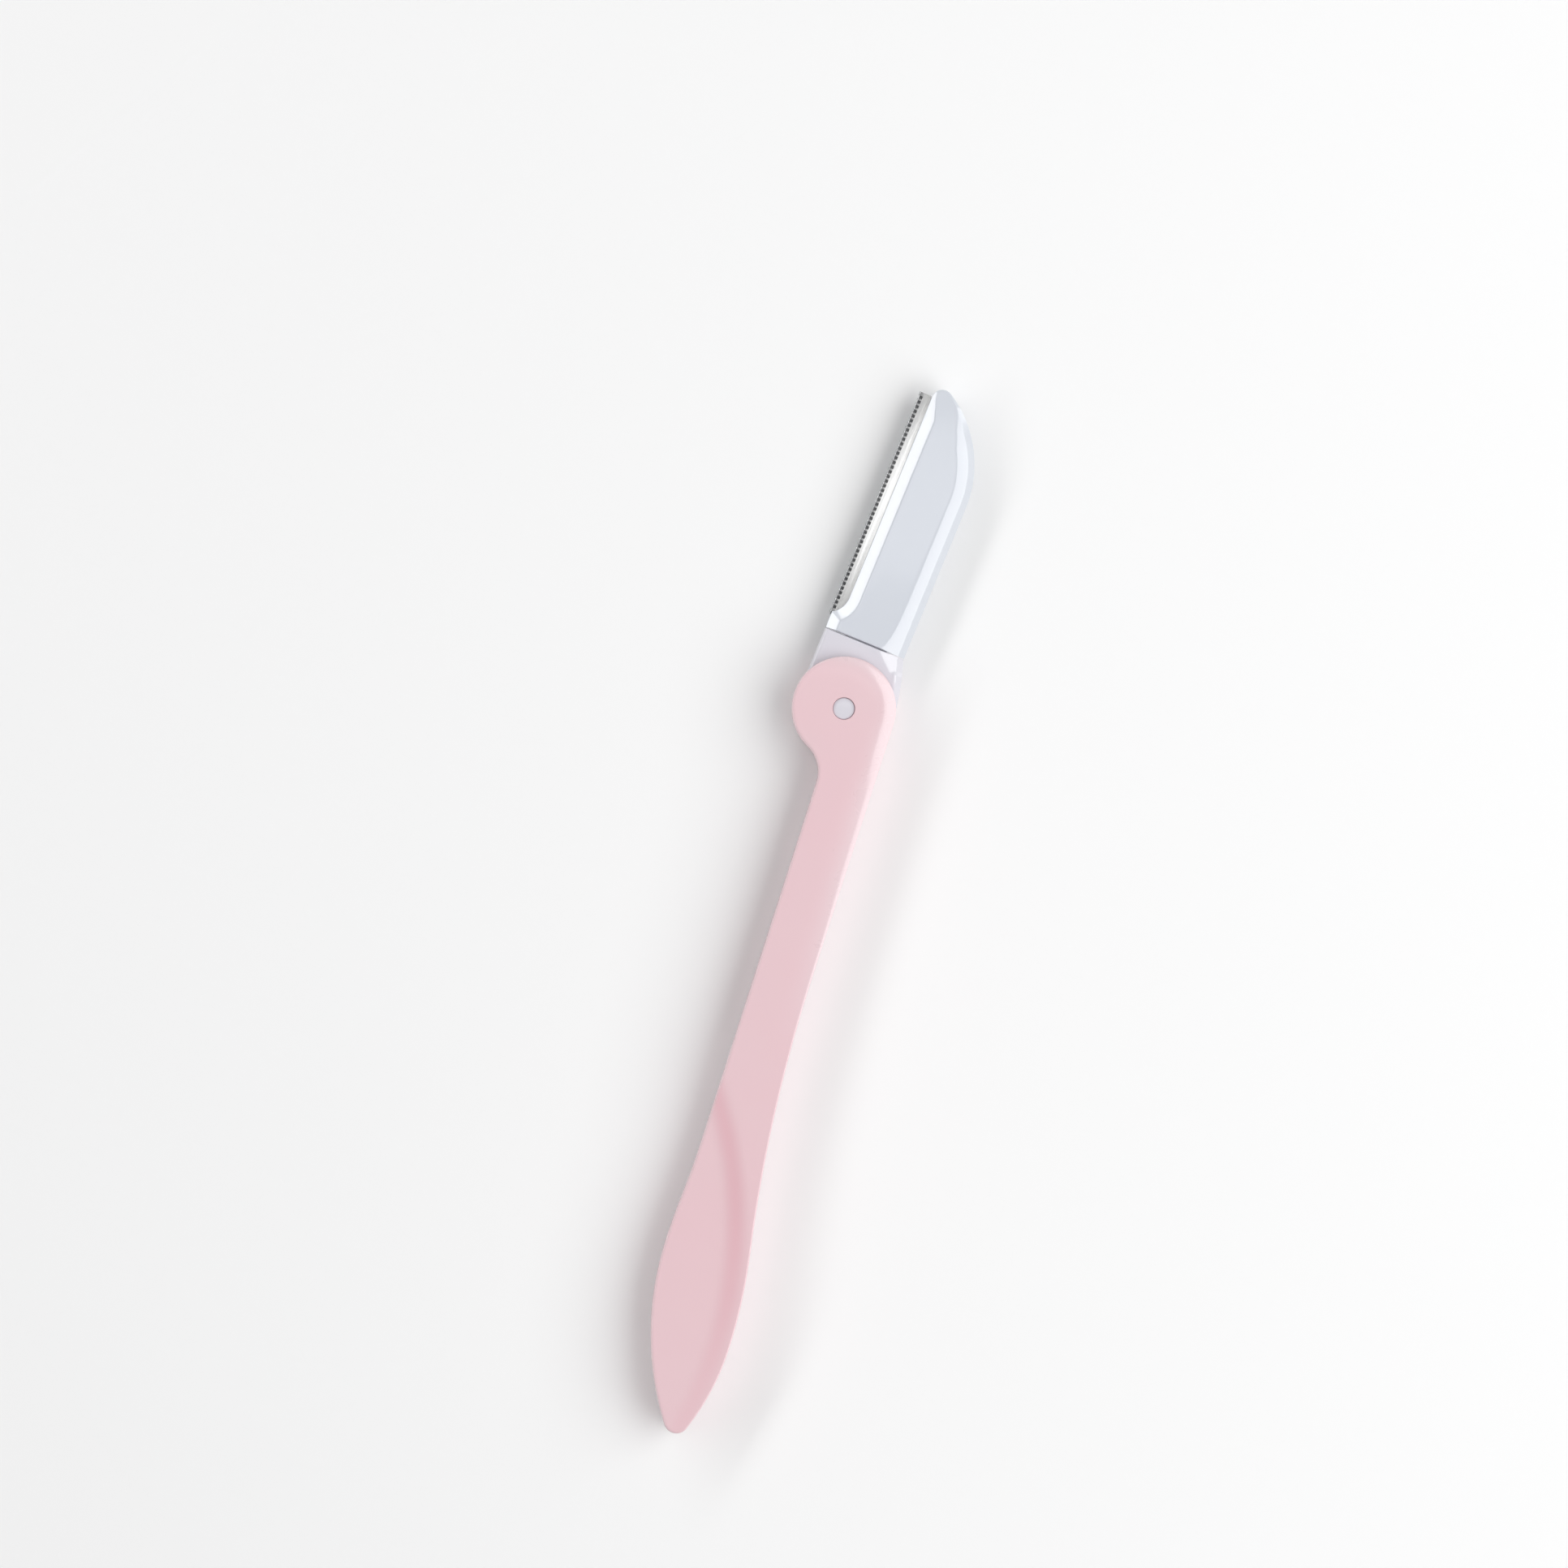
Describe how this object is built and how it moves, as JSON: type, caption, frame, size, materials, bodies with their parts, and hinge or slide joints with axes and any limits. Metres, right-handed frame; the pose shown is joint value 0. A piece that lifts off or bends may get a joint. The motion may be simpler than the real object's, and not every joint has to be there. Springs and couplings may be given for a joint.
{
  "type": "folding eyebrow razor",
  "caption": "Folding eyebrow razor: a guarded straight blade in a bevelled white head that pivots on a pin and folds into a slim pink handle with a leaf-shaped thumb rest.",
  "frame": {"origin": "under the middle of the open razor, on the flat back of the handle that it lies on", "axes": "+Z out of the razor's face, +Y along the grip from the leaf towards the blade head, +X towards the spine side, away from the cutting edge"},
  "size_m": [0.0192, 0.1494, 0.0068],
  "materials": {
    "handle_plastic": "satin moulded ABS, powder pink",
    "white_plastic": "satin moulded acetal, cool white",
    "head_gloss": "polished moulded ABS, cool white",
    "blade_steel": "ground stainless strip",
    "guard_steel": "etched stainless foil"
  },
  "bodies": {
    "handle": {"handle_front_shell": "handle_plastic", "handle_back_shell": "handle_plastic", "pivot_pin": "white_plastic"},
    "blade_head": {"blade_carrier": "white_plastic", "blade": "blade_steel", "blade_guard": "guard_steel", "head_front_cover": "head_gloss", "head_back_cover": "head_gloss"}
  },
  "joints": [
    {"name": "blade_fold", "type": "hinge", "parent": "handle", "child": "blade_head", "pos_m": [-0.00237, 0.02822, 0.0034], "axis": [0, 0, 1], "range_deg": [0, 177]}
  ]
}
